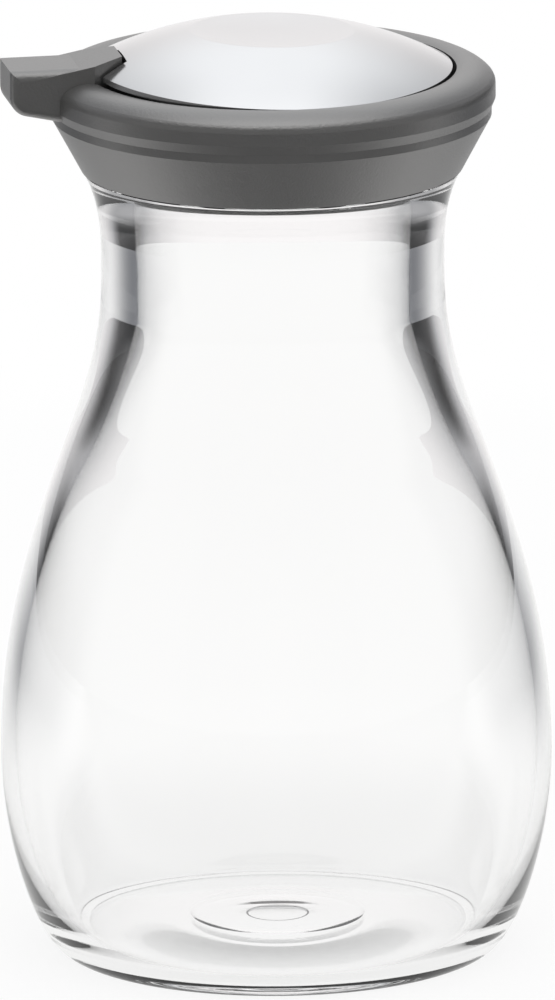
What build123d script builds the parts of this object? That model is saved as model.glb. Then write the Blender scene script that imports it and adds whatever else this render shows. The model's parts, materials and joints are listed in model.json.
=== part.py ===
"""Clear table sauce bottle with a screw cap and a press lid that opens a pouring valve.

Millimetres. The origin is the centre of the foot, +Z is up and the beak points along -X.
"""
from build123d import *
from math import hypot, radians, sin, sqrt
import os

# Bottle, outside
foot_r = 26.4
foot_inner_r = 24.4
belly_r = 34.0
belly_z = 25.0
heel_reach = 3.1
heel_lift = 0.4
heel_rise = 12.0
belly_handle = 16.0
shoulder_r = 25.5
shoulder_h = 39.4
shoulder_slope = 0.365
shoulder_low_handle = 11.7
shoulder_high_handle = 6.1
waist_r = 21.1
waist_h = 20.6
waist_handle = 8.3
waist_band_h = 3.0
flare_h = 10.3
flare_bend_h = 6.4
shelf_r = 23.3
shelf_edge_round = 0.3

# Bottle, inside
belly_wall_t = 1.9
hip_wall_t = 2.6
hip_drop = 2.4
hip_slope = 0.53
hip_low_handle = 7.0
hip_high_handle = 5.0
core_taper = 0.6
core_taper_h = 7.0
core_end_slope = 0.12
core_end_handle = 5.0
floor_r = 23.6
floor_z = 1.9
floor_bend = 4.0
punt_r = 11.0
punt_rise = 1.2
punt_crown_z = 3.5
punt_step = 0.35
punt_edge_slope = 0.05
foot_dome_slope = 0.35
gate_r = 3.8
gate_rise = 0.4

# Neck and its two-start thread
neck_r = 18.6
neck_wall_t = 2.0
neck_h = 6.9
neck_lip_round = 0.5
thread_starts = 2
thread_lead = 6.8
thread_depth = 1.1
thread_base_w = 1.6
thread_crest_w = 0.9
thread_sink = 0.3
thread_radial_gap = 0.35
thread_axial_gap = 0.3
neck_thread_turns = 0.69
neck_thread_h = 1.15

# Screw collar
shelf_gap = 0.2
collar_foot_r = 23.5
collar_pocket_w = 2.65
collar_rim_h = 1.0
collar_h = 7.5
collar_wall = 1.6
collar_floor_t = 1.6
sleeve_t = 1.4
collar_thread_turns = 0.5
collar_thread_h = 0.95
snap_bead = 0.3
snap_bead_h = 0.8
snap_bead_drop = 2.2

# Spout ring with its deck and skirts
gasket_t = 0.9
gasket_inset = 0.2
deck_t = 1.2
ring_overhang = 0.5
ring_belt_h = 1.2
ring_lip_h = 3.4
ring_edge_h = 2.0
ring_bend = 4.25
ring_shoulder_round = 1.4
ring_pocket_wall = 1.5
ring_pocket_h = 2.6
beak_clear_arc = 60.0
snap_skirt_t = 1.2
snap_skirt_h = 3.7
snap_skirt_gap = 0.1
plug_gap = 0.4
plug_t = 1.2
plug_h = 4.8

# Beak, tongue and pouring channel
beak_proud = 5.6
beak_w = 9.5
beak_h = 5.4
beak_nose_h = 3.3
beak_root_lift = 0.1
beak_chin_inset = 1.9
beak_chin_rise = 1.0
beak_edge_round = 1.1
tongue_shoulder = 1.75
tongue_length = 3.7
tongue_end_w = 5.8
tongue_rise = 1.05
channel_r = 1.0
channel_bend_inset = 2.25
channel_lift = 0.65
outlet_inset = 2.5
outlet_drop = 3.3
riser_inset = 9.35
duct_wall = 1.3
duct_roof_t = 0.65

# Hinge
hinge_inset = 4.25
hinge_h = 2.0
pin_r = 1.0
pin_fit = 0.05
pin_press = 0.02
pin_proud = 0.3
lug_w = 9.6
lug_r = 1.4
ear_gap = 0.3
ear_t = 2.2
ear_r = 1.7

# Steel button and its black lever
button_r = 22.2
button_gap = 0.55
button_t = 0.6
button_h = 8.95
button_bend_x = 49.1
button_bend_y = 44.0
dish_depth = 1.45
dish_bend = 120.0
dish_edge_round = 1.2
lever_t = 1.0
lever_inset = 0.35
notch_gap = 0.3
notch_end_gap = 0.5
notch_length = 6.75
rest_tilt = 1.05
press_deg = 3.7
nose_gap = 0.1
nose_bend = 4.0
nose_rise = 0.66
nose_stub_r = 2.2

# Valve, its gland and its spring
stem_r = 1.25
stem_fit = 0.05
stem_press = 0.02
stem_head_r = 4.0
stem_head_t = 0.9
seal_r = 5.0
seal_t = 1.4
port_r = 3.1
seat_plate_t = 2.0
plate_fit = 0.05
plate_bead = 0.25
plate_bead_h = 0.6
chamber_h = 1.2
plate_oring_wire = 0.52
plate_oring_room = 0.06
gland_r = 3.3
gland_h = 2.5
gland_bore_r = 2.3
gland_oring_room = 0.02
gland_ring_t = 0.8
cup_h = 5.2
cup_hub_r = 2.2
cup_hub_h = 0.5
cup_flange_r = 5.1
cup_flange_t = 0.8
cup_rim_t = 0.5
cup_rim_h = 0.5
spring_r = 4.1
spring_wire = 0.5
spring_turns = 3.5
spring_end_gap = 0.05

# Air vent
vent_x = 9.0
vent_boss_r = 2.0
vent_hole_r = 0.8
vent_boss_drop = 1.4
vent_fit = 0.1
bill_wall = 0.7
bill_h = 2.4
bill_w = 4.2
bill_tip_t = 0.9
bill_slit = 0.25
bill_round_share = 0.45

# Sweep of the crowned blocks, and the share of an edge's length where the edge is looked at
block_sweep_deg = 90.0
edge_probe = 0.37

# Sizes that follow from the ones above
shoulder_z = belly_z + shoulder_h
waist_z = shoulder_z + waist_h
flare_start_z = waist_z + waist_band_h
flare_bend_z = flare_start_z + flare_bend_h
shelf_z = flare_start_z + flare_h
neck_top_z = shelf_z + neck_h
hip_z = shoulder_z - hip_drop
core_end_z = waist_z - core_taper_h
deck_z = neck_top_z + gasket_t
deck_top_z = deck_z + deck_t
ring_lip_z = deck_top_z + ring_lip_h
ring_edge_z = deck_top_z + ring_edge_h
button_crown_z = deck_top_z + button_h
dish_floor_z = button_crown_z - dish_depth
beak_top_z = deck_top_z + beak_h
tongue_top_z = beak_top_z + tongue_rise
hinge_z = deck_top_z + hinge_h
cup_top_z = deck_top_z + cup_h
cut_h = 2 * belly_r
collar_z = shelf_z + shelf_gap
collar_top_z = collar_z + collar_h
collar_rim_z = collar_top_z - collar_rim_h
collar_floor_z = collar_z + collar_floor_t
beak_chin_z = collar_top_z + beak_chin_rise
channel_bend_z = deck_top_z + channel_lift
outlet_z = beak_top_z - outlet_drop
neck_bore_r = neck_r - neck_wall_t
sleeve_bore_r = neck_r + thread_depth + thread_radial_gap
sleeve_r = sleeve_bore_r + sleeve_t
snap_skirt_r = sleeve_r + snap_skirt_gap
collar_rim_r = snap_skirt_r + snap_skirt_t + collar_pocket_w + collar_wall
ring_r = collar_rim_r + ring_overhang
lip_r = button_r + button_gap
tongue_start_x = lip_r + tongue_shoulder
tongue_end_x = lip_r - tongue_length
lever_notch_x = lip_r - notch_length
hinge_x = lip_r - hinge_inset
channel_bend_x = lip_r - channel_bend_inset
riser_x = lip_r - riser_inset
beak_reach = ring_r + beak_proud
beak_chin_x = beak_reach - beak_chin_inset
outlet_x = beak_reach - outlet_inset
plug_r = neck_bore_r - plug_gap
plug_bore_r = plug_r - plug_t
plate_top_z = deck_z - chamber_h
plate_z = plate_top_z - seat_plate_t
plate_r = plug_bore_r - plate_fit
seal_z = plate_z - seal_t
stem_bore_r = stem_r + stem_fit
gland_top_z = deck_top_z + gland_h
gland_oring_wire = (gland_bore_r - stem_bore_r) / 2 - gland_oring_room
gland_floor_z = gland_top_z - gland_ring_t - 2 * gland_oring_wire - gland_oring_room
cup_flange_z = cup_top_z - cup_hub_h - cup_flange_t
duct_top_z = channel_bend_z + channel_r + duct_roof_t
vent_end_z = plate_z - vent_boss_drop
hinge_axis = Axis((hinge_x, 0, hinge_z), (0, 1, 0))
press_travel = hinge_x * radians(press_deg)

# Where the two threads lie against each other: the collar's ridge hangs just under the neck's
thread_mesh_w = thread_base_w - (thread_base_w - thread_crest_w) / 2 * (1 + thread_radial_gap / thread_depth)
thread_offset = thread_mesh_w + thread_axial_gap
neck_thread_z = shelf_z + neck_thread_h
collar_thread_z = collar_z + collar_thread_h
collar_thread_deg = (collar_thread_z + thread_offset - neck_thread_z) / thread_lead * 360
unscrew_deg = neck_thread_turns * 360 - collar_thread_deg
unscrew_rise = thread_lead * unscrew_deg / 360


def torus_block(crown_z, bend_x, bend_y, sink=0.0):
    """Solid under a crowned surface that bends with one radius along X and another across it."""
    half = ring_r + ring_pocket_h
    top = crown_z - sink
    across = bend_y - sink
    edge_z = top - across + sqrt(across**2 - half**2)
    floor_level = edge_z - collar_h
    spin = Axis((0, 0, crown_z - bend_x), (0, 1, 0))
    with BuildPart() as block:
        with BuildSketch(Plane.YZ):
            with BuildLine():
                ThreePointArc((-half, edge_z), (0, top), (half, edge_z))
                Polyline((half, edge_z), (half, floor_level), (-half, floor_level), (-half, edge_z))
            make_face()
        revolve(axis=spin, revolution_arc=block_sweep_deg)
    return block.part.rotate(spin, -block_sweep_deg / 2)


def button_block(sink):
    """Solid under the button's top surface, or under a surface that lies sink below it."""
    dish_centre_z = dish_floor_z + dish_bend
    crown = torus_block(button_crown_z, button_bend_x, button_bend_y, sink)
    with BuildPart() as block:
        add(crown)
        with Locations((0, 0, dish_centre_z)):
            Sphere(dish_bend + sink, mode=Mode.SUBTRACT)
    return block.part


def thread_ridge(root_r, crest_r, turns, start_z, start_deg):
    """One helical ridge; a crest inside the root makes an inside thread."""
    outward = 1 if crest_r > root_r else -1
    height = abs(crest_r - root_r)
    with BuildPart() as ridge:
        with BuildLine() as path:
            Helix(thread_lead, thread_lead * turns, root_r, center=(0, 0, start_z))
        with BuildSketch(Plane(path.line @ 0, x_dir=(1, 0, 0), z_dir=path.line % 0)):
            with BuildLine():
                Polyline(
                    (-outward * thread_sink, -thread_base_w / 2),
                    (0, -thread_base_w / 2),
                    (outward * height, -thread_crest_w / 2),
                    (outward * height, thread_crest_w / 2),
                    (0, thread_base_w / 2),
                    (-outward * thread_sink, thread_base_w / 2),
                    close=True,
                )
            make_face()
        sweep(path=path.line, is_frenet=True)
    return ridge.part.rotate(Axis.Z, start_deg)


def tongue_outline(gap, end_x):
    """Plan of the tongue, grown by a gap: as wide as the beak at the rim, narrower at its end."""
    half = beak_w / 2 + gap
    end_half = tongue_end_w / 2 + gap
    near_side = [(-cut_h, half), (-lip_r, half), (-end_x, end_half)]
    return near_side + [(x, -y) for x, y in reversed(near_side)]


def edge_radius(edge):
    """Distance from the upright axis to a point part of the way along an edge."""
    point = edge @ edge_probe
    return hypot(point.X, point.Y)


def at_radius(radius):
    """Filter for edges that lie on an upright cylinder about the axis."""
    return lambda edge: abs(edge_radius(edge) - radius) < 1e-3


# Bottle: one turned section, hollow, with a straight thick-walled bore and thread ridges on its neck
neck_ridge = thread_ridge(neck_r, neck_r + thread_depth, neck_thread_turns, neck_thread_z, 0)
belly_inner_r = belly_r - belly_wall_t
hip_inner_r = shoulder_r - hip_wall_t
core_end_r = neck_bore_r + core_taper
with BuildPart() as bottle:
    with BuildSketch(Plane.XZ):
        with BuildLine():
            Line((foot_inner_r, 0), (foot_r, 0))
            Bezier(
                (foot_r, 0),
                (foot_r + heel_reach, heel_lift),
                (belly_r, belly_z - heel_rise),
                (belly_r, belly_z),
            )
            Bezier(
                (belly_r, belly_z),
                (belly_r, belly_z + belly_handle),
                (shoulder_r + shoulder_slope * shoulder_low_handle, shoulder_z - shoulder_low_handle),
                (shoulder_r, shoulder_z),
            )
            Bezier(
                (shoulder_r, shoulder_z),
                (shoulder_r - shoulder_slope * shoulder_high_handle, shoulder_z + shoulder_high_handle),
                (waist_r, waist_z - waist_handle),
                (waist_r, waist_z),
            )
            Line((waist_r, waist_z), (waist_r, flare_start_z))
            Bezier((waist_r, flare_start_z), (waist_r, flare_bend_z), (shelf_r, shelf_z))
            Polyline(
                (shelf_r, shelf_z),
                (neck_r, shelf_z),
                (neck_r, neck_top_z),
                (neck_bore_r, neck_top_z),
                (neck_bore_r, waist_z),
                (core_end_r, core_end_z),
            )
            Bezier(
                (core_end_r, core_end_z),
                (core_end_r + core_end_slope * core_end_handle, core_end_z - core_end_handle),
                (hip_inner_r - hip_slope * hip_high_handle, hip_z + hip_high_handle),
                (hip_inner_r, hip_z),
            )
            Bezier(
                (hip_inner_r, hip_z),
                (hip_inner_r + hip_slope * hip_low_handle, hip_z - hip_low_handle),
                (belly_inner_r, belly_z + belly_handle),
                (belly_inner_r, belly_z),
            )
            Bezier(
                (belly_inner_r, belly_z),
                (belly_inner_r, belly_z - heel_rise),
                (floor_r + floor_bend, floor_z),
                (floor_r, floor_z),
            )
            Spline(
                (floor_r, floor_z),
                (punt_r, punt_crown_z - punt_step),
                tangents=[(-1, 0), (-1, punt_edge_slope)],
            )
            Polyline(
                (punt_r, punt_crown_z - punt_step),
                (punt_r, punt_crown_z),
                (0, punt_crown_z),
                (0, punt_rise + gate_rise),
                (gate_r, punt_rise + gate_rise),
                (gate_r, punt_rise),
                (punt_r, punt_rise),
            )
            Spline((punt_r, punt_rise), (foot_inner_r, 0), tangents=[(1, 0), (1, -foot_dome_slope)])
        make_face()
    revolve(axis=Axis.Z)
    fillet(bottle.edges().filter_by(GeomType.CIRCLE).filter_by(at_radius(shelf_r)), shelf_edge_round)
    fillet(bottle.edges().group_by(Axis.Z)[-1], neck_lip_round)
    with PolarLocations(0, thread_starts):
        add(neck_ridge)

# Neck gasket: soft ring between the neck's rim and the deck
with BuildPart() as neck_gasket:
    with BuildSketch(Plane.XY.offset(neck_top_z)):
        Circle(neck_r - gasket_inset)
        Circle(neck_bore_r + gasket_inset, mode=Mode.SUBTRACT)
    extrude(amount=gasket_t)

# Screw collar: turned cone, threaded sleeve inside it and a pocket between them
collar_ridge = thread_ridge(
    sleeve_bore_r, sleeve_bore_r - thread_depth, collar_thread_turns, collar_thread_z, collar_thread_deg
)
pocket_low_r = collar_foot_r - collar_wall + (collar_rim_r - collar_foot_r) * collar_floor_t / collar_h
bead_z = collar_top_z - snap_bead_drop
with BuildPart() as screw_collar:
    with BuildSketch(Plane.XZ):
        with BuildLine():
            Polyline(
                (sleeve_bore_r, collar_z),
                (collar_foot_r, collar_z),
                (collar_rim_r, collar_rim_z),
                (collar_rim_r, collar_top_z),
                (collar_rim_r - collar_wall, collar_top_z),
                (collar_rim_r - collar_wall, collar_rim_z),
                (pocket_low_r, collar_floor_z),
                (sleeve_r, collar_floor_z),
                (sleeve_r, bead_z - snap_bead_h / 2),
                (sleeve_r + snap_bead, bead_z),
                (sleeve_r, bead_z + snap_bead_h / 2),
                (sleeve_r, collar_top_z),
                (sleeve_bore_r, collar_top_z),
                close=True,
            )
        make_face()
    revolve(axis=Axis.Z)
    with PolarLocations(0, thread_starts):
        add(collar_ridge)

# Beak with its tongue: side profile, cut to the plan outline and rounded
beak_root_z = collar_top_z + beak_root_lift
deck_middle_z = deck_z + deck_t / 2
with BuildPart() as beak:
    with BuildSketch(Plane.XZ):
        with BuildLine():
            Polyline(
                (-beak_chin_x, beak_chin_z),
                (-collar_rim_r, beak_root_z),
                (-tongue_start_x, deck_middle_z),
                (-tongue_end_x, deck_middle_z),
                (-tongue_end_x, tongue_top_z),
                (-tongue_start_x, beak_top_z),
                (-beak_reach, beak_top_z),
                (-beak_reach, beak_top_z - beak_nose_h),
            )
            TangentArc(
                (-beak_chin_x, beak_chin_z),
                (-beak_reach, beak_top_z - beak_nose_h),
                tangent=(collar_rim_r - beak_chin_x, beak_chin_z - beak_root_z),
            )
        make_face()
    extrude(amount=beak_w / 2, both=True)
    with BuildSketch(Plane.XY.offset(collar_z)):
        Polygon(*tongue_outline(0, tongue_end_x), align=None)
    extrude(amount=cut_h, mode=Mode.INTERSECT)
    long_edges = beak.edges().filter_by(Axis.X).group_by(Axis.Z)[-1]
    tip_edges = beak.faces().sort_by(Axis.X)[0].edges()
    fillet(long_edges + tip_edges.filter_by(Axis.Z), beak_edge_round)

# Spout ring: outer ring with a rolled top, deck, snap skirt, plug skirt, gland and hinge lug
pocket_start = Plane.XZ.rotated((0, 0, beak_clear_arc / 2 - 180))
channel_way = (channel_bend_x - outlet_x, 0, outlet_z - channel_bend_z)
channel_length = hypot(outlet_x - channel_bend_x, outlet_z - channel_bend_z)
with BuildPart() as spout_ring:
    with BuildSketch(Plane.XZ):
        with BuildLine():
            RadiusArc((lip_r, ring_lip_z), (ring_r, ring_edge_z), ring_bend)
            Polyline(
                (ring_r, ring_edge_z),
                (ring_r, collar_top_z + ring_belt_h),
                (collar_rim_r, collar_top_z),
                (lip_r, collar_top_z),
                (lip_r, ring_lip_z),
            )
        make_face()
    revolve(axis=Axis.Z)
    shoulder_edges = spout_ring.edges().filter_by(at_radius(ring_r)).group_by(Axis.Z)[-1]
    fillet(shoulder_edges, ring_shoulder_round)
    add(beak.part)
    with BuildSketch(pocket_start):
        with Locations(((lip_r + ring_r) / 2, collar_top_z + ring_pocket_h / 2)):
            Rectangle(ring_r - lip_r - 2 * ring_pocket_wall, ring_pocket_h)
    revolve(axis=Axis.Z, revolution_arc=360 - beak_clear_arc, mode=Mode.SUBTRACT)
    with BuildSketch(Plane.XY.offset(collar_top_z - snap_skirt_h)):
        Circle(snap_skirt_r + snap_skirt_t)
        Circle(snap_skirt_r, mode=Mode.SUBTRACT)
    extrude(amount=snap_skirt_h + deck_top_z - collar_top_z)
    with BuildSketch(Plane.XY.offset(bead_z - snap_bead_h / 2)):
        Circle(snap_skirt_r + snap_bead)
    extrude(amount=snap_bead_h, mode=Mode.SUBTRACT)
    with BuildSketch(Plane.XY.offset(deck_z)):
        Circle(lip_r + ring_pocket_wall / 2)
    extrude(amount=deck_t)
    with BuildSketch(Plane.XY.offset(deck_z - plug_h)):
        Circle(plug_r)
        Circle(plug_bore_r, mode=Mode.SUBTRACT)
    extrude(amount=plug_h)
    with BuildSketch(Plane.XY.offset(plate_z - plate_bead_h)):
        Circle(plug_r - plug_t / 2)
        Circle(plug_bore_r - plate_bead, mode=Mode.SUBTRACT)
    extrude(amount=plate_bead_h)
    with BuildSketch(Plane.XY.offset(deck_top_z)):
        Circle(gland_r)
    extrude(amount=gland_h)
    with BuildSketch(Plane.XZ):
        with Locations((hinge_x, hinge_z)):
            Circle(lug_r)
        with Locations((hinge_x, (deck_z + hinge_z) / 2)):
            Rectangle(2 * lug_r, hinge_z - deck_z)
    extrude(amount=lug_w / 2, both=True)
    with BuildSketch(Plane.XY.offset(vent_end_z)):
        with Locations((vent_x, 0)):
            Circle(vent_boss_r)
    extrude(amount=deck_z - vent_end_z)
    duct_end_x = riser_x - channel_r - duct_wall
    with BuildSketch(Plane.XY.offset(deck_z)):
        with Locations((-(duct_end_x + tongue_end_x) / 2, 0)):
            Rectangle(tongue_end_x - duct_end_x, 2 * (channel_r + duct_wall))
    extrude(amount=duct_top_z - deck_z)
    with BuildSketch(Plane.XY.offset(deck_z - cut_h / 2)):
        with Locations((0, 0)):
            Circle(stem_bore_r)
        with Locations((vent_x, 0)):
            Circle(vent_hole_r)
    extrude(amount=cut_h, mode=Mode.SUBTRACT)
    with BuildSketch(Plane.XY.offset(gland_floor_z)):
        Circle(gland_bore_r)
    extrude(amount=cut_h, mode=Mode.SUBTRACT)
    with BuildSketch(Plane.XZ):
        with Locations((hinge_x, hinge_z)):
            Circle(pin_r + pin_press)
    extrude(amount=lug_w / 2, both=True, mode=Mode.SUBTRACT)
    with BuildSketch(Plane.XY.offset(deck_z)):
        with Locations((-riser_x, 0)):
            Circle(channel_r)
    extrude(amount=channel_bend_z - deck_z, mode=Mode.SUBTRACT)
    with BuildSketch(Plane.YZ.offset(-channel_bend_x)):
        with Locations((0, channel_bend_z)):
            Circle(channel_r)
    extrude(amount=channel_bend_x - riser_x, mode=Mode.SUBTRACT)
    with BuildSketch(Plane((-channel_bend_x, 0, channel_bend_z), x_dir=(0, 1, 0), z_dir=channel_way)):
        Circle(channel_r)
    extrude(amount=channel_length, mode=Mode.SUBTRACT)
    with BuildSketch(Plane.XY.offset(collar_z)):
        with Locations((-outlet_x, 0)):
            Circle(channel_r)
    extrude(amount=outlet_z - collar_z, mode=Mode.SUBTRACT)
    corners = [(-riser_x, 0, channel_bend_z), (-channel_bend_x, 0, channel_bend_z), (-outlet_x, 0, outlet_z)]
    with Locations(*corners):
        Sphere(channel_r, mode=Mode.SUBTRACT)

# Seat plate: closes the flow chamber, with the valve's port and a groove for its O-ring
plate_ring_r = plug_bore_r - plate_oring_room - plate_oring_wire
plate_mid_z = plate_z + seat_plate_t / 2
groove_r = plate_ring_r - plate_oring_wire - plate_oring_room / 2
with BuildPart() as seat_plate:
    with BuildSketch(Plane.XY.offset(plate_z)):
        Circle(plate_r)
        Circle(port_r, mode=Mode.SUBTRACT)
        with Locations((vent_x, 0)):
            Circle(vent_boss_r + vent_fit, mode=Mode.SUBTRACT)
    extrude(amount=seat_plate_t)
    with BuildSketch(Plane.XZ):
        with Locations(((groove_r + plug_r) / 2, plate_mid_z)):
            Rectangle(plug_r - groove_r, 2 * (plate_oring_wire + plate_oring_room))
    revolve(axis=Axis.Z, mode=Mode.SUBTRACT)

# O-ring in the seat plate's groove
with BuildPart() as plate_oring:
    with BuildSketch(Plane.XZ):
        with Locations((plate_ring_r, plate_mid_z)):
            Circle(plate_oring_wire)
    revolve(axis=Axis.Z)

# O-ring round the stem and the pressed ring that keeps it in its gland
gland_oring_z = gland_floor_z + gland_oring_wire + gland_oring_room / 2
with BuildPart() as gland_oring:
    with BuildSketch(Plane.XZ):
        with Locations(((stem_bore_r + gland_bore_r) / 2, gland_oring_z)):
            Circle(gland_oring_wire)
    revolve(axis=Axis.Z)
with BuildPart() as gland_ring:
    with BuildSketch(Plane.XY.offset(gland_top_z - gland_ring_t)):
        Circle(gland_bore_r - gland_oring_room / 2)
        Circle(stem_bore_r, mode=Mode.SUBTRACT)
    extrude(amount=gland_ring_t)

# Valve stem: rod with a flat head below the seal
with BuildPart() as valve_stem:
    with BuildSketch(Plane.XY.offset(seal_z - stem_head_t)):
        Circle(stem_head_r)
    extrude(amount=stem_head_t)
    with BuildSketch(Plane.XY.offset(seal_z)):
        Circle(stem_r)
    extrude(amount=cup_top_z - seal_z)

# Valve seal: soft washer that lies against the seat plate's underside
with BuildPart() as valve_seal:
    with BuildSketch(Plane.XY.offset(seal_z)):
        Circle(seal_r)
        Circle(stem_r + stem_press, mode=Mode.SUBTRACT)
    extrude(amount=seal_t)

# Spring cup: pressed on the stem's top, holds the spring under its flange
with BuildPart() as spring_cup:
    with BuildSketch(Plane.XY.offset(cup_flange_z - cup_rim_h)):
        Circle(cup_flange_r)
        Circle(cup_flange_r - cup_rim_t, mode=Mode.SUBTRACT)
    extrude(amount=cup_rim_h)
    with BuildSketch(Plane.XY.offset(cup_flange_z)):
        Circle(cup_flange_r)
    extrude(amount=cup_flange_t)
    with BuildSketch(Plane.XY.offset(cup_flange_z + cup_flange_t)):
        Circle(cup_hub_r)
    extrude(amount=cup_hub_h)
    with BuildSketch(Plane.XY.offset(cup_flange_z)):
        Circle(stem_r + stem_press)
    extrude(amount=cup_top_z - cup_flange_z, mode=Mode.SUBTRACT)

# Return spring: a coil between the deck and the cup's flange
spring_low_z = deck_top_z + spring_end_gap + spring_wire / 2
spring_high_z = cup_flange_z - spring_end_gap - spring_wire / 2
spring_pitch = (spring_high_z - spring_low_z) / spring_turns
with BuildPart() as return_spring:
    with BuildLine() as coil:
        Helix(spring_pitch, spring_high_z - spring_low_z, spring_r, center=(0, 0, spring_low_z))
    with BuildSketch(Plane(coil.line @ 0, z_dir=coil.line % 0)):
        Circle(spring_wire / 2)
    sweep(path=coil.line, is_frenet=True)
print("return_spring gap between turns", round(spring_pitch - spring_wire, 3))

# Vent valve: soft sleeve on the vent's boss, closed below by a slit bill
with BuildPart() as vent_valve:
    with BuildSketch(Plane.XY.offset(vent_end_z)):
        with Locations((vent_x, 0)):
            Circle(vent_boss_r + bill_wall)
            Circle(vent_boss_r + stem_press, mode=Mode.SUBTRACT)
    extrude(amount=vent_boss_drop)
    with BuildSketch(Plane.XY.offset(vent_end_z)):
        with Locations((vent_x, 0)):
            Circle(vent_boss_r + bill_wall)
    with BuildSketch(Plane.XY.offset(vent_end_z - bill_h)):
        with Locations((vent_x, 0)):
            RectangleRounded(bill_tip_t, bill_w, bill_tip_t * bill_round_share)
    loft()
    with BuildSketch(Plane.XY.offset(vent_end_z)):
        with Locations((vent_x, 0)):
            Circle(vent_boss_r)
    with BuildSketch(Plane.XY.offset(vent_end_z - bill_h)):
        with Locations((vent_x, 0)):
            RectangleRounded(bill_slit, bill_w - bill_tip_t, bill_slit * bill_round_share)
    loft(mode=Mode.SUBTRACT)

# Hinge pin
pin_half = lug_w / 2 + ear_gap + ear_t + pin_proud
with BuildPart() as hinge_pin:
    with BuildSketch(Plane.XZ):
        with Locations((hinge_x, hinge_z)):
            Circle(pin_r)
    extrude(amount=pin_half, both=True)

# Steel button in its level place: a crowned sheet with a thumb dish and a notch for the tongue
button_top = button_block(0)
button_underside = button_block(button_t)
with BuildPart() as level_button:
    with BuildSketch(Plane.XY.offset(deck_z)):
        Circle(button_r)
    extrude(amount=cut_h)
    add(button_top, mode=Mode.INTERSECT)
    dish_edges = level_button.edges().filter_by(lambda edge: edge_radius(edge) < button_r / 2)
    fillet(dish_edges, dish_edge_round)
    add(button_underside, mode=Mode.SUBTRACT)
    with BuildSketch(Plane.XY.offset(deck_z)):
        Polygon(*tongue_outline(notch_gap, tongue_end_x - notch_end_gap), align=None)
    extrude(amount=cut_h, mode=Mode.SUBTRACT)

# Black lever in its level place: carries the button and has the hinge ears and the presser nose
nose_low_z = cup_top_z + nose_gap - hinge_x * sin(radians(rest_tilt))
ear_inner_y = lug_w / 2 + ear_gap
lever_middle = button_block(button_t + lever_t / 2)
lever_underside = button_block(button_t + lever_t)
with BuildPart() as presser_nose:
    with BuildSketch(Plane.XZ):
        with BuildLine():
            nose_arc = RadiusArc((0, nose_low_z), (nose_stub_r, nose_low_z + nose_rise), -nose_bend)
            Polyline(nose_arc @ 1, (nose_stub_r, button_crown_z), (0, button_crown_z), (0, nose_low_z))
        make_face()
    revolve(axis=Axis.Z)
    add(lever_middle, mode=Mode.INTERSECT)
with BuildPart() as hinge_ears:
    with BuildSketch(Plane.XZ.offset(ear_inner_y)):
        with Locations((hinge_x, hinge_z)):
            Circle(ear_r)
        with Locations((hinge_x, hinge_z + ear_r)):
            Rectangle(2 * ear_r, 2 * ear_r)
    extrude(amount=ear_t)
    mirror(about=Plane.XZ)
    add(lever_middle, mode=Mode.INTERSECT)
with BuildPart() as level_lever:
    with BuildSketch(Plane.XY.offset(deck_z)):
        Circle(button_r - lever_inset)
    extrude(amount=cut_h)
    add(button_underside, mode=Mode.INTERSECT)
    add(lever_underside, mode=Mode.SUBTRACT)
    with BuildSketch(Plane.XY.offset(deck_z)):
        Polygon(*tongue_outline(notch_gap + lever_inset, lever_notch_x), align=None)
    extrude(amount=cut_h, mode=Mode.SUBTRACT)
    with BuildSketch(Plane.XZ):
        with Locations((hinge_x, hinge_z)):
            Circle(lug_r + ear_gap)
    extrude(amount=ear_inner_y, both=True, mode=Mode.SUBTRACT)
    add(hinge_ears.part)
    add(presser_nose.part)
    with BuildSketch(Plane.XZ):
        with Locations((hinge_x, hinge_z)):
            Circle(pin_r + pin_fit)
    extrude(amount=cut_h, both=True, mode=Mode.SUBTRACT)

# The lid pieces turned about the hinge pin to their rest place, a little proud at the beak
with BuildPart() as button_cap:
    add(level_button.part.rotate(hinge_axis, rest_tilt))
with BuildPart() as button_lever:
    add(level_lever.part.rotate(hinge_axis, rest_tilt))

# Write one file per piece
pieces = {
    "bottle": bottle,
    "neck_gasket": neck_gasket,
    "screw_collar": screw_collar,
    "spout_ring": spout_ring,
    "seat_plate": seat_plate,
    "plate_oring": plate_oring,
    "gland_oring": gland_oring,
    "gland_ring": gland_ring,
    "vent_valve": vent_valve,
    "hinge_pin": hinge_pin,
    "return_spring": return_spring,
    "valve_stem": valve_stem,
    "valve_seal": valve_seal,
    "spring_cup": spring_cup,
    "button_lever": button_lever,
    "button_cap": button_cap,
}
os.makedirs("parts", exist_ok=True)
for name, piece in pieces.items():
    piece.part.label = name
    export_step(piece.part, f"parts/{name}.step")
print("cap turns", round(unscrew_deg, 2), "degrees and rises", round(unscrew_rise, 3), "mm to come free")
print("button turns", press_deg, "degrees and the stem moves", round(press_travel, 3), "mm")
print("deck top at", round(deck_top_z, 3), "hinge at", hinge_x, hinge_z)
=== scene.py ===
"""Looks of the clear sauce bottle with its grey cap and domed steel press lid.

Metres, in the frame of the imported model: origin at the centre of the foot, +Z up, beak along -X.
"""
import json
from math import cos, radians, sin, tau

import bmesh
import bpy
from mathutils import Matrix, Vector


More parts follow.
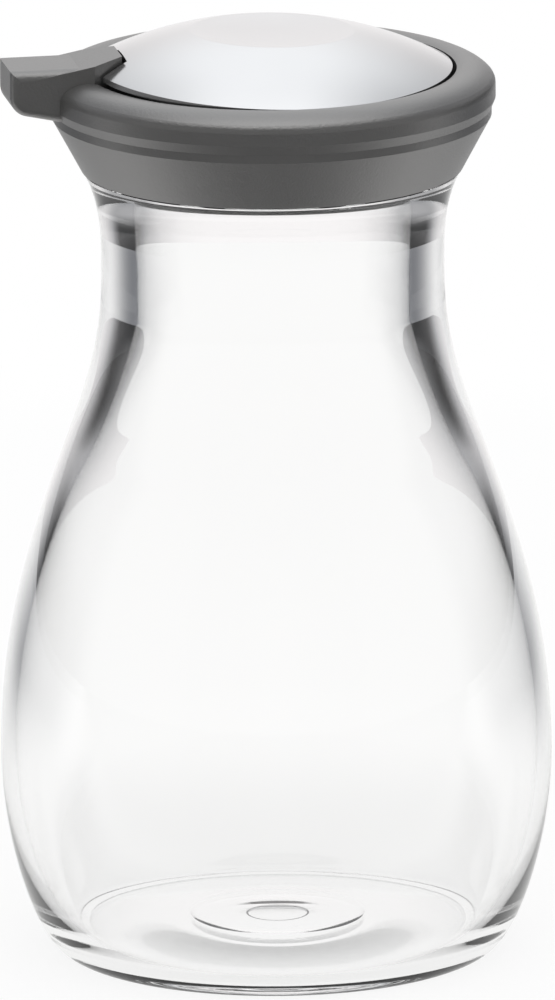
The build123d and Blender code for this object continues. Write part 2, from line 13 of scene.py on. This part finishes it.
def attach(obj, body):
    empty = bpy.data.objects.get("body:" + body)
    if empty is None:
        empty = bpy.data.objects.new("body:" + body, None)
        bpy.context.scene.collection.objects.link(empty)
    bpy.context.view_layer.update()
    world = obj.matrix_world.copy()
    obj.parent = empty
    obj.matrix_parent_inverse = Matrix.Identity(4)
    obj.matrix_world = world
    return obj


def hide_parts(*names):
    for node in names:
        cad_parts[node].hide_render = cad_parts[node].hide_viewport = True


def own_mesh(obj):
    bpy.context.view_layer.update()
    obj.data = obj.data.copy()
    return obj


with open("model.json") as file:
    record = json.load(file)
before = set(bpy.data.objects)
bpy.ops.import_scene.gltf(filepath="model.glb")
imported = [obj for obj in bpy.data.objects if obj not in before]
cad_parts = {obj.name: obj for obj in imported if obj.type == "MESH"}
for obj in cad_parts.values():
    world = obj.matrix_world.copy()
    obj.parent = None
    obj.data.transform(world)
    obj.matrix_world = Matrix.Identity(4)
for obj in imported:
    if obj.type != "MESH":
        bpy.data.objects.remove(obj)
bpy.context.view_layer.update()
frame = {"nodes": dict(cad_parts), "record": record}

MM = 0.001

# Bottle, outside, in millimetres as in the model's drawing
foot_r = 26.4
foot_inner_r = 24.4
belly_r = 34.0
belly_z = 25.0
heel_reach = 3.1
heel_lift = 0.4
heel_rise = 12.0
belly_handle = 16.0
shoulder_r = 25.5
shoulder_z = 64.4
shoulder_slope = 0.365
shoulder_low_handle = 11.7
shoulder_high_handle = 6.1
waist_r = 21.1
waist_z = 85.0
waist_handle = 8.3
flare_start_z = 88.0
flare_bend_z = 94.4
shelf_r = 23.3
shelf_z = 98.3
shelf_edge_round = 0.04

# Bottle, inside
belly_in_r = 32.1
belly_in_handle = 16.0
hip_r = 22.9
hip_z = 62.0
hip_slope = 0.53
hip_low_handle = 7.0
hip_high_handle = 5.0
core_end_z = 80.7
core_end_slope = 0.14
core_end_handle = 5.0
floor_r = 23.6
floor_z = 1.9
floor_bend = 4.0
floor_run = 3.0
punt_r = 11.0
punt_rise = 1.2
punt_crown_z = 3.5
punt_step = 0.35
punt_round = 0.15
gate_r = 3.8
gate_rise = 0.4
neck_r = 18.6
neck_bore_r = 16.6
neck_top_z = 105.2
neck_lip_round = 0.5

# Thread ridges on the neck
thread_lead = 6.8
thread_depth = 1.1
thread_base_w = 1.6
thread_crest_w = 0.9
thread_sink = 0.3
thread_turns = 0.69
thread_z = 99.45
thread_steps = 120

# Fineness of the turned meshes
turn_steps = 288
curve_steps = 26

# Camera: far away and slightly above, as a long lens sees it
image_h = 1000
camera_distance = 3.0
camera_azimuth = -10.0
camera_elevation = 14.1
camera_roll = 0.43
aim_z = 0.0561
aim_right = 0.00036
sensor_h = 36.0
pixels_per_metre = 8120.0
far_clip = 50.0

# Finishes: noise scales are in waves per metre, depths in metres
clear_index = 1.5
flow_scale = 45.0
flow_detail = 1.0
flow_stretch = (1.0, 1.0, 0.35)
flow_strength = 0.05
flow_depth = 0.001
patch_scale = 60.0
patch_detail = 3.0
grain_detail = 3.0
grain_depth = 0.0001
rough_spread = 0.05
steel_low = (0.7, 0.7, 0.705)
steel_high = (0.75, 0.75, 0.755)
steel_rough_low = 0.15
steel_rough_high = 0.19
steel_patch_scale = 80.0
steel_grain_scale = 6000.0
steel_detail = 2.0
steel_grain_strength = 0.05
steel_grain_depth = 0.00005

# Moulded finishes: darkest and lightest colour, roughness, grain scale, grain strength and metallic share
moulded_finishes = {
    "grey_plastic": ((0.25, 0.248, 0.246), (0.29, 0.286, 0.284), 0.4, 3000.0, 0.35, 0.85),
    "black_plastic": ((0.012, 0.012, 0.012), (0.018, 0.018, 0.018), 0.5, 3000.0, 0.2, 0.0),
    "white_plastic": ((0.72, 0.72, 0.69), (0.78, 0.78, 0.75), 0.4, 2500.0, 0.2, 0.0),
    "gasket_rubber": ((0.55, 0.55, 0.53), (0.62, 0.62, 0.6), 0.6, 2000.0, 0.3, 0.0),
    "seal_rubber": ((0.02, 0.02, 0.02), (0.03, 0.03, 0.03), 0.55, 2000.0, 0.3, 0.0),
}

# Studio: a white table in a room that is bright behind and overhead, with dark fields behind to both sides.
# Mirrors see a dark front, and clear plastic sees a bright one. The table's share of these is painted into
# its glow: painted shade to the sides, a painted dark reflection in front and a painted shadow round the
# foot.
white = (1.0, 1.0, 1.0)
table_r = 1.2
table_colour = 0.88
table_glow = 0.9
table_segments = 96
table_shine = 0.95
# painted shadow: for gloss and clear plastic, the table's glow darkens to this tone round the bottle's foot
painted_foot_shadow = (0.92, 0.92, 0.915)
table_middle = (1.0, 1.0, 0.995)
# painted shade: the table's glow darkens to this tone to the sides behind the bottle
painted_side_shade = (0.17, 0.175, 0.19)
# painted reflection: only mirrors see the table in front of the bottle this dark
painted_dark_front_reflection = (0.11, 0.11, 0.11)
front_low = (0.35, 0.35, 0.35)
front_high = (0.04, 0.04, 0.04)
front_top = (1.7, 1.7, 1.7)
front_clear = (0.95, 0.95, 0.95)
back_low = (1.0, 0.98, 0.98)
back_high = (1.2, 1.22, 1.24)
side_low = (0.4, 0.4, 0.41)
side_high = (0.38, 0.39, 0.41)
flag_grey = (0.02, 0.02, 0.02)

# Where the table's tones change, its painted shadow, painted shade and painted dark reflection among them: by
# distance from the bottle's axis (reach), by the share of it that lies to the side (turn) or behind (ahead),
# and by the distance behind (away)
foot_shadow_reach = (0.11, 0.05)
side_shade_turn = (0.2, 0.8)
side_shade_reach = (0.05, 0.32)
side_shade_ahead = (0.0, 0.3)
dark_reflection_away = (0.0, -0.08)
glow_reach = (0.12, 0.3)

# Where the room's tones change, along its directions' parts to the side, away from the camera and up
behind_span = (-0.3, 0.45)
above_span = (0.2, 0.7)
low_side_span = (0.05, 0.5)
high_side_span = (0.1, 0.6)
zenith_span = (0.68, 0.88)
flag_side_span = (0.34, 0.6)
flag_height_span = (0.22, 0.04)
clear_span = (0.25, -0.05)

# Lamp
key_place = (0.1, -0.4, 1.4)
key_target = (0.0, 0.0, 0.08)
key_size = 1.2
key_power = 8.0


def new_material(name):
    """Empty node material with its output; returns the material, its nodes and its links."""
    material = bpy.data.materials.new(name)
    material.use_nodes = True
    nodes = material.node_tree.nodes
    nodes.clear()
    return material, nodes, material.node_tree.links


def principled(name, colour, roughness, **sockets):
    """Material with one Principled shader; returns material, nodes, links and the shader."""
    material, nodes, links = new_material(name)
    output = nodes.new("ShaderNodeOutputMaterial")
    shader = nodes.new("ShaderNodeBsdfPrincipled")
    shader.inputs["Base Color"].default_value = (*colour, 1.0)
    shader.inputs["Roughness"].default_value = roughness
    for key, value in sockets.items():
        shader.inputs[key.replace("_", " ")].default_value = value
    links.new(shader.outputs["BSDF"], output.inputs["Surface"])
    return material, nodes, links, shader


def noise(nodes, links, coordinates, scale, detail=2.0, stretch=(1.0, 1.0, 1.0)):
    """Noise over object space at a scale in waves per metre."""
    mapping = nodes.new("ShaderNodeMapping")
    mapping.inputs["Scale"].default_value = stretch
    links.new(coordinates.outputs["Object"], mapping.inputs["Vector"])
    texture = nodes.new("ShaderNodeTexNoise")
    texture.inputs["Scale"].default_value = scale
    texture.inputs["Detail"].default_value = detail
    links.new(mapping.outputs["Vector"], texture.inputs["Vector"])
    return texture


def ranged(nodes, links, source, low, high):
    """Map a 0 to 1 source to a range."""
    node = nodes.new("ShaderNodeMapRange")
    node.inputs["To Min"].default_value = low
    node.inputs["To Max"].default_value = high
    links.new(source, node.inputs["Value"])
    return node.outputs["Result"]


def bumped(nodes, links, shader, height, strength, distance):
    """Feed a height into the shader's normal."""
    bump = nodes.new("ShaderNodeBump")
    bump.inputs["Strength"].default_value = strength
    bump.inputs["Distance"].default_value = distance
    links.new(height, bump.inputs["Height"])
    links.new(bump.outputs["Normal"], shader.inputs["Normal"])


def tinted(nodes, links, shader, source, low, high):
    """Vary the base colour between two colours."""
    mix = nodes.new("ShaderNodeMix")
    mix.data_type = "RGBA"
    mix.inputs["A"].default_value = (*low, 1.0)
    mix.inputs["B"].default_value = (*high, 1.0)
    links.new(source, mix.inputs["Factor"])
    links.new(mix.outputs["Result"], shader.inputs["Base Color"])


def clear_plastic():
    """Clear moulded plastic with a faint flow waviness."""
    material, nodes, links, shader = principled(
        "clear_plastic", white, 0.0, Transmission_Weight=1.0, IOR=clear_index
    )
    place = nodes.new("ShaderNodeTexCoord")
    wave = noise(nodes, links, place, flow_scale, flow_detail, flow_stretch)
    bumped(nodes, links, shader, wave.outputs["Fac"], flow_strength, flow_depth)
    return material


def moulded(name, low, high, roughness, grain_scale, grain_strength, metallic):
    """Satin moulded plastic: fine grain, soft patches of roughness and a little colour variation."""
    material, nodes, links, shader = principled(name, low, roughness, Metallic=metallic)
    place = nodes.new("ShaderNodeTexCoord")
    patches = noise(nodes, links, place, patch_scale, patch_detail)
    grain = noise(nodes, links, place, grain_scale, grain_detail)
    tinted(nodes, links, shader, patches.outputs["Fac"], low, high)
    rough = ranged(nodes, links, patches.outputs["Fac"], roughness - rough_spread, roughness + rough_spread)
    links.new(rough, shader.inputs["Roughness"])
    bumped(nodes, links, shader, grain.outputs["Fac"], grain_strength, grain_depth)
    return material


def satin_steel():
    """Fine satin steel: even grey with a very fine blasted grain."""
    material, nodes, links, shader = principled("satin_steel", steel_low, steel_rough_low, Metallic=1.0)
    place = nodes.new("ShaderNodeTexCoord")
    patches = noise(nodes, links, place, steel_patch_scale, steel_detail)
    grain = noise(nodes, links, place, steel_grain_scale, steel_detail)
    tinted(nodes, links, shader, patches.outputs["Fac"], steel_low, steel_high)
    rough = ranged(nodes, links, patches.outputs["Fac"], steel_rough_low, steel_rough_high)
    links.new(rough, shader.inputs["Roughness"])
    bumped(nodes, links, shader, grain.outputs["Fac"], steel_grain_strength, steel_grain_depth)
    return material


def dress_nodes():
    """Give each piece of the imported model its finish."""
    finishes = {name: moulded(name, *values) for name, values in moulded_finishes.items()}
    finishes["clear_plastic"] = clear_plastic()
    finishes["satin_steel"] = satin_steel()
    finishes["plain_steel"] = satin_steel()
    for part in frame["record"]["subparts"]:
        node = frame["nodes"][part["node"]]
        node.data.materials.clear()
        node.data.materials.append(finishes[part["material_slot"]])
    return finishes


def bezier(points, steps=curve_steps):
    """Points along a Bezier curve, without the first one."""
    found = []
    for step in range(1, steps + 1):
        share = step / steps
        level = [Vector(point) for point in points]
        while len(level) > 1:
            level = [a.lerp(b, share) for a, b in zip(level, level[1:])]
        found.append(tuple(level[0]))
    return found


def rounded(before, corner, after, radius, steps=6):
    """Points of a small round between two straight sides."""
    corner = Vector(corner)
    to_before = (Vector(before) - corner).normalized()
    to_after = (Vector(after) - corner).normalized()
    return [tuple(corner + to_before * radius)] + bezier(
        [corner + to_before * radius, corner, corner + to_after * radius], steps
    )


def outer_wall():
    """Belly to waist, through the shoulder."""
    low = bezier([
        (belly_r, belly_z),
        (belly_r, belly_z + belly_handle),
        (shoulder_r + shoulder_slope * shoulder_low_handle, shoulder_z - shoulder_low_handle),
        (shoulder_r, shoulder_z),
    ])
    high = bezier([
        (shoulder_r, shoulder_z),
        (shoulder_r - shoulder_slope * shoulder_high_handle, shoulder_z + shoulder_high_handle),
        (waist_r, waist_z - waist_handle),
        (waist_r, waist_z),
    ])
    return low + high


def bottle_outline():
    """Section of the bottle: radius and height, from the axis outside up and inside down."""
    gate_z = punt_rise + gate_rise
    outline = [(0, gate_z)]
    outline += rounded((0, gate_z), (gate_r, gate_z), (gate_r, punt_rise), punt_round)
    outline += rounded((gate_r, gate_z), (gate_r, punt_rise), (punt_r, punt_rise), punt_round)
    outline += [(punt_r, punt_rise)]
    outline += [(foot_inner_r, 0)]
    outline += [(foot_r, 0)]
    heel_out = (foot_r + heel_reach, heel_lift)
    outline += bezier([(foot_r, 0), heel_out, (belly_r, belly_z - heel_rise), (belly_r, belly_z)])
    outline += outer_wall()
    outline += [(waist_r, flare_start_z)]
    flare = bezier([(waist_r, flare_start_z), (waist_r, flare_bend_z), (shelf_r, shelf_z)])
    outline += [point for point in flare if point[1] < shelf_z - shelf_edge_round]
    outline += rounded(flare[-2], (shelf_r, shelf_z), (neck_r, shelf_z), shelf_edge_round)
    outline += [(neck_r, shelf_z)]
    rim_out = (neck_r, neck_top_z)
    rim_in = (neck_bore_r, neck_top_z)
    outline += rounded((neck_r, shelf_z), rim_out, rim_in, neck_lip_round)
    outline += rounded(rim_out, rim_in, (neck_bore_r, shelf_z), neck_lip_round)
    core_low = (neck_bore_r + core_end_slope * core_end_handle, core_end_z - core_end_handle)
    hip_high = (hip_r - hip_slope * hip_high_handle, hip_z + hip_high_handle)
    hip_low = (hip_r + hip_slope * hip_low_handle, hip_z - hip_low_handle)
    outline += [(neck_bore_r, core_end_z)]
    outline += bezier([(neck_bore_r, core_end_z), core_low, hip_high, (hip_r, hip_z)])
    belly_high = (belly_in_r, belly_z + belly_in_handle)
    belly_low = (belly_in_r, belly_z - heel_rise)
    outline += bezier([(hip_r, hip_z), hip_low, belly_high, (belly_in_r, belly_z)])
    outline += bezier([(belly_in_r, belly_z), belly_low, (floor_r + floor_bend, floor_z), (floor_r, floor_z)])
    low_z = punt_crown_z - punt_step
    punt_side_r = punt_r - punt_step
    floor_in = (floor_r - floor_run, floor_z)
    outline += bezier([(floor_r, floor_z), floor_in, (punt_r + floor_run, low_z), (punt_r, low_z)])
    punt_high = (punt_side_r, punt_crown_z)
    outline += bezier([(punt_r, low_z), (punt_side_r, low_z), punt_high, (gate_r, punt_crown_z)])
    outline += [(0, punt_crown_z)]
    return outline


def turned(name, outline, steps=turn_steps):
    """Closed mesh turned about the upright axis from a section in millimetres that starts and ends on it."""
    mesh = bmesh.new()
    rings = []
    for radius, height in outline:
        if radius < 1e-6:
            rings.append([mesh.verts.new((0, 0, height * MM))])
            continue
        turn = [tau * step / steps for step in range(steps)]
        places = [(radius * MM * cos(angle), radius * MM * sin(angle), height * MM) for angle in turn]
        rings.append([mesh.verts.new(place) for place in places])
    for low, high in zip(rings, rings[1:]):
        for step in range(steps):
            after = (step + 1) % steps
            corners = [low[step % len(low)], low[after % len(low)]]
            corners += [high[after % len(high)], high[step % len(high)]]
            mesh.faces.new(list(dict.fromkeys(corners)))
    bmesh.ops.recalc_face_normals(mesh, faces=mesh.faces)
    return finished_mesh(name, mesh)


def finished_mesh(name, mesh, sharp_deg=35):
    """Object from a bmesh, smooth apart from its sharp edges."""
    for face in mesh.faces:
        face.smooth = True
    for edge in mesh.edges:
        if len(edge.link_faces) == 2 and edge.calc_face_angle(0) > radians(sharp_deg):
            edge.smooth = False
    data = bpy.data.meshes.new(name)
    mesh.to_mesh(data)
    mesh.free()
    piece = bpy.data.objects.new(name, data)
    bpy.context.scene.collection.objects.link(piece)
    return piece


def thread_ridge(name, start_turn, steps=thread_steps):
    """One helical ridge on the neck, sunk a little into it."""
    mesh = bmesh.new()
    section = [
        (neck_r - thread_sink, -thread_base_w / 2),
        (neck_r, -thread_base_w / 2),
        (neck_r + thread_depth, -thread_crest_w / 2),
        (neck_r + thread_depth, thread_crest_w / 2),
        (neck_r, thread_base_w / 2),
        (neck_r - thread_sink, thread_base_w / 2),
    ]
    rings = []
    for step in range(steps + 1):
        turn = thread_turns * step / steps
        angle = tau * (turn + start_turn)
        base = thread_z + thread_lead * turn
        places = [(r * MM * cos(angle), r * MM * sin(angle), (base + z) * MM) for r, z in section]
        rings.append([mesh.verts.new(place) for place in places])
    count = len(section)
    for low, high in zip(rings, rings[1:]):
        for side in range(count):
            after = (side + 1) % count
            mesh.faces.new([low[side], low[after], high[after], high[side]])
    mesh.faces.new(rings[0])
    mesh.faces.new(list(reversed(rings[-1])))
    bmesh.ops.recalc_face_normals(mesh, faces=mesh.faces)
    return finished_mesh(name, mesh)


def joined_by_union(piece, others):
    """Unite other closed meshes into a piece and delete them."""
    for other in others:
        union = piece.modifiers.new("union", "BOOLEAN")
        union.operation = "UNION"
        union.solver = "EXACT"
        union.object = other
    bpy.context.view_layer.update()
    shape = piece.evaluated_get(bpy.context.evaluated_depsgraph_get())
    data = bpy.data.meshes.new_from_object(shape)
    piece.modifiers.clear()
    piece.data = data
    for other in others:
        bpy.data.objects.remove(other)


def make_bottle(material):
    """Finely turned clear bottle in place of the model's coarser mesh."""
    piece = turned("bottle_glass", bottle_outline())
    joined_by_union(piece, [thread_ridge("ridge", 0.0), thread_ridge("ridge", 0.5)])
    piece.data.materials.clear()
    piece.data.materials.append(material)
    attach(piece, "bottle")
    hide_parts("bottle")


def make_spring(material):
    """Return spring carried with the cap, a copy of the model's own mesh."""
    node = frame["nodes"]["return_spring"]
    piece = bpy.data.objects.new("spring_coil", node.data.copy())
    bpy.context.scene.collection.objects.link(piece)
    piece.data.materials.clear()
    piece.data.materials.append(material)
    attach(piece, "cap")
    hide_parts("return_spring")
    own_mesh(piece)


def calculated(nodes, links, operation, first, second):
    """Math node on two inputs, each a socket or a number."""
    node = nodes.new("ShaderNodeMath")
    node.operation = operation
    for socket, value in zip(node.inputs, (first, second)):
        if isinstance(value, (int, float)):
            socket.default_value = value
        else:
            links.new(value, socket)
    return node.outputs[0]


def stepped(nodes, links, value, low, high):
    """Soft step from 0 at low to 1 at high."""
    node = nodes.new("ShaderNodeMapRange")
    node.interpolation_type = "SMOOTHSTEP"
    node.inputs["From Min"].default_value = min(low, high)
    node.inputs["From Max"].default_value = max(low, high)
    node.inputs["To Min"].default_value = 0.0 if low < high else 1.0
    node.inputs["To Max"].default_value = 1.0 if low < high else 0.0
    links.new(value, node.inputs["Value"])
    return node.outputs["Result"]


def blended(nodes, links, share, first, second):
    """Colour between two, each a socket or a colour."""
    node = nodes.new("ShaderNodeMix")
    node.data_type = "RGBA"
    links.new(share, node.inputs["Factor"])
    for name, value in (("A", first), ("B", second)):
        socket = next(s for s in node.inputs if s.name == name and s.type == "RGBA")
        if isinstance(value, tuple):
            socket.default_value = (*value, 1.0)
        else:
            links.new(value, socket)
    return next(s for s in node.outputs if s.type == "RGBA")


def studio_axes(nodes, links, space):
    """Parts of a point or direction to either side of the camera's line, away from the camera and up."""
    place = nodes.new("ShaderNodeTexCoord")
    turn = nodes.new("ShaderNodeMapping")
    turn.inputs["Rotation"].default_value = (0, 0, -radians(camera_azimuth))
    links.new(place.outputs[space], turn.inputs["Vector"])
    axes = nodes.new("ShaderNodeSeparateXYZ")
    links.new(turn.outputs["Vector"], axes.inputs["Vector"])
    across, away, height = axes.outputs
    return calculated(nodes, links, "ABSOLUTE", across, 0.0), away, height


def make_table():
    """White round table that glows for the camera, for gloss and through the clear plastic; its glow carries
    a painted shadow round the foot, painted shade to the sides behind and a painted dark reflection in front
    that only mirrors see.
    """
    mesh = bmesh.new()
    bmesh.ops.create_circle(mesh, cap_ends=True, segments=table_segments, radius=table_r)
    table = finished_mesh("table", mesh)
    material, nodes, links = new_material("table")
    output = nodes.new("ShaderNodeOutputMaterial")
    diffuse = nodes.new("ShaderNodeBsdfDiffuse")
    diffuse.inputs["Color"].default_value = (table_colour, table_colour, table_colour, 1.0)
    path = nodes.new("ShaderNodeLightPath")
    to_camera = path.outputs["Is Camera Ray"]
    to_gloss = path.outputs["Is Glossy Ray"]
    through = path.outputs["Is Transmission Ray"]

    side, away = studio_axes(nodes, links, "Object")[:2]
    side_squared = calculated(nodes, links, "MULTIPLY", side, side)
    away_squared = calculated(nodes, links, "MULTIPLY", away, away)
    reach_squared = calculated(nodes, links, "ADD", side_squared, away_squared)
    reach = calculated(nodes, links, "POWER", reach_squared, 0.5)
    turn = calculated(nodes, links, "DIVIDE", side, reach)
    ahead = calculated(nodes, links, "DIVIDE", away, reach)

    # painted shadow round the bottle's foot, in the table's glow
    foot = stepped(nodes, links, reach, *foot_shadow_reach)
    # painted shade to the sides behind the bottle, in the table's glow
    side_shade = stepped(nodes, links, turn, *side_shade_turn)
    side_shade = calculated(nodes, links, "MULTIPLY", side_shade, stepped(nodes, links, reach, *side_shade_reach))
    side_shade = calculated(nodes, links, "MULTIPLY", side_shade, stepped(nodes, links, ahead, *side_shade_ahead))
    # painted dark reflection: only glossy rays see the table in front of the bottle dark
    mirrored = calculated(nodes, links, "SUBTRACT", to_gloss, through)
    front = calculated(nodes, links, "MULTIPLY", stepped(nodes, links, away, *dark_reflection_away), mirrored)
    tone = blended(nodes, links, foot, table_middle, painted_foot_shadow)
    tone = blended(nodes, links, side_shade, tone, painted_side_shade)
    tone = blended(nodes, links, front, tone, painted_dark_front_reflection)
    tone = blended(nodes, links, to_camera, tone, white)
    # emission that carries the table's painted shadow, painted shade and painted dark reflection; the table
    # is no lamp
    emitter = nodes.new("ShaderNodeEmission")
    links.new(tone, emitter.inputs["Color"])

    # gloss and clear plastic see mostly these painted emission tones
    shine = calculated(nodes, links, "MAXIMUM", to_gloss, through)
    shine_share = calculated(nodes, links, "MULTIPLY", shine, table_shine)
    glow = calculated(nodes, links, "MAXIMUM", stepped(nodes, links, reach, *glow_reach), table_glow)
    glow_share = calculated(nodes, links, "MULTIPLY", to_camera, glow)
    mix = nodes.new("ShaderNodeMixShader")
    links.new(calculated(nodes, links, "MAXIMUM", shine_share, glow_share), mix.inputs["Fac"])
    links.new(diffuse.outputs[0], mix.inputs[1])
    links.new(emitter.outputs[0], mix.inputs[2])
    links.new(mix.outputs[0], output.inputs["Surface"])
    table.data.materials.append(material)


def make_world():
    """Soft studio room: white to look at, with broad bright and dark fields for gloss and clear plastic."""
    world = bpy.data.worlds.new("studio")
    bpy.context.scene.world = world
    world.use_nodes = True
    nodes = world.node_tree.nodes
    links = world.node_tree.links
    nodes.clear()
    path = nodes.new("ShaderNodeLightPath")
    side, away, height = studio_axes(nodes, links, "Generated")
    behind = stepped(nodes, links, away, *behind_span)
    above = stepped(nodes, links, height, *above_span)

    low = blended(nodes, links, stepped(nodes, links, side, *low_side_span), back_low, side_low)
    low = blended(nodes, links, behind, front_low, low)
    front = blended(nodes, links, stepped(nodes, links, height, *zenith_span), front_high, front_top)
    high = blended(nodes, links, stepped(nodes, links, side, *high_side_span), back_high, side_high)
    high = blended(nodes, links, behind, front, high)
    room = blended(nodes, links, above, low, high)

    flag_side = stepped(nodes, links, side, *flag_side_span)
    flag_height = stepped(nodes, links, height, *flag_height_span)
    flag = calculated(nodes, links, "MULTIPLY", flag_side, flag_height)
    flag = calculated(nodes, links, "MULTIPLY", flag, behind)
    room = blended(nodes, links, flag, room, flag_grey)

    clear_share = stepped(nodes, links, away, *clear_span)
    clear_share = calculated(nodes, links, "MULTIPLY", clear_share, path.outputs["Is Transmission Ray"])
    room = blended(nodes, links, clear_share, room, front_clear)
    seen = blended(nodes, links, path.outputs["Is Camera Ray"], room, white)
    light = nodes.new("ShaderNodeBackground")
    links.new(seen, light.inputs["Color"])
    output = nodes.new("ShaderNodeOutputWorld")
    links.new(light.outputs[0], output.inputs["Surface"])


def area_light(name, place, target, size, power):
    """Square soft light aimed at a point."""
    data = bpy.data.lights.new(name, "AREA")
    data.shape = "SQUARE"
    data.size = size
    data.energy = power
    emitter = bpy.data.objects.new(name, data)
    bpy.context.scene.collection.objects.link(emitter)
    emitter.location = place
    direction = Vector(target) - Vector(place)
    emitter.rotation_euler = direction.to_track_quat("-Z", "Y").to_euler()
    emitter.visible_glossy = False
    emitter.visible_transmission = False


def make_camera():
    """Long lens at the photograph's height and turn."""
    azimuth = radians(camera_azimuth)
    elevation = radians(camera_elevation)
    right = Vector((cos(azimuth), sin(azimuth), 0))
    back = Vector((sin(azimuth) * cos(elevation), -cos(azimuth) * cos(elevation), sin(elevation)))
    up = back.cross(right)
    roll = radians(camera_roll)
    tilted_up = up * cos(roll) + right * sin(roll)
    tilted_right = tilted_up.cross(back)
    data = bpy.data.cameras.new("camera")
    data.sensor_fit = "VERTICAL"
    data.sensor_height = sensor_h
    data.lens = pixels_per_metre * camera_distance * sensor_h / image_h
    data.clip_end = far_clip
    camera = bpy.data.objects.new("camera", data)
    bpy.context.scene.collection.objects.link(camera)
    aim = Vector((0, 0, aim_z)) + right * aim_right
    turn = Matrix((tilted_right, tilted_up, back)).transposed().to_4x4()
    camera.matrix_world = Matrix.Translation(aim + back * camera_distance) @ turn
    bpy.context.scene.camera = camera


finishes = dress_nodes()
make_bottle(finishes["clear_plastic"])
make_spring(finishes["plain_steel"])
make_table()
make_world()
area_light("key", key_place, key_target, key_size, key_power)
make_camera()
bpy.context.scene.view_settings.view_transform = "Standard"
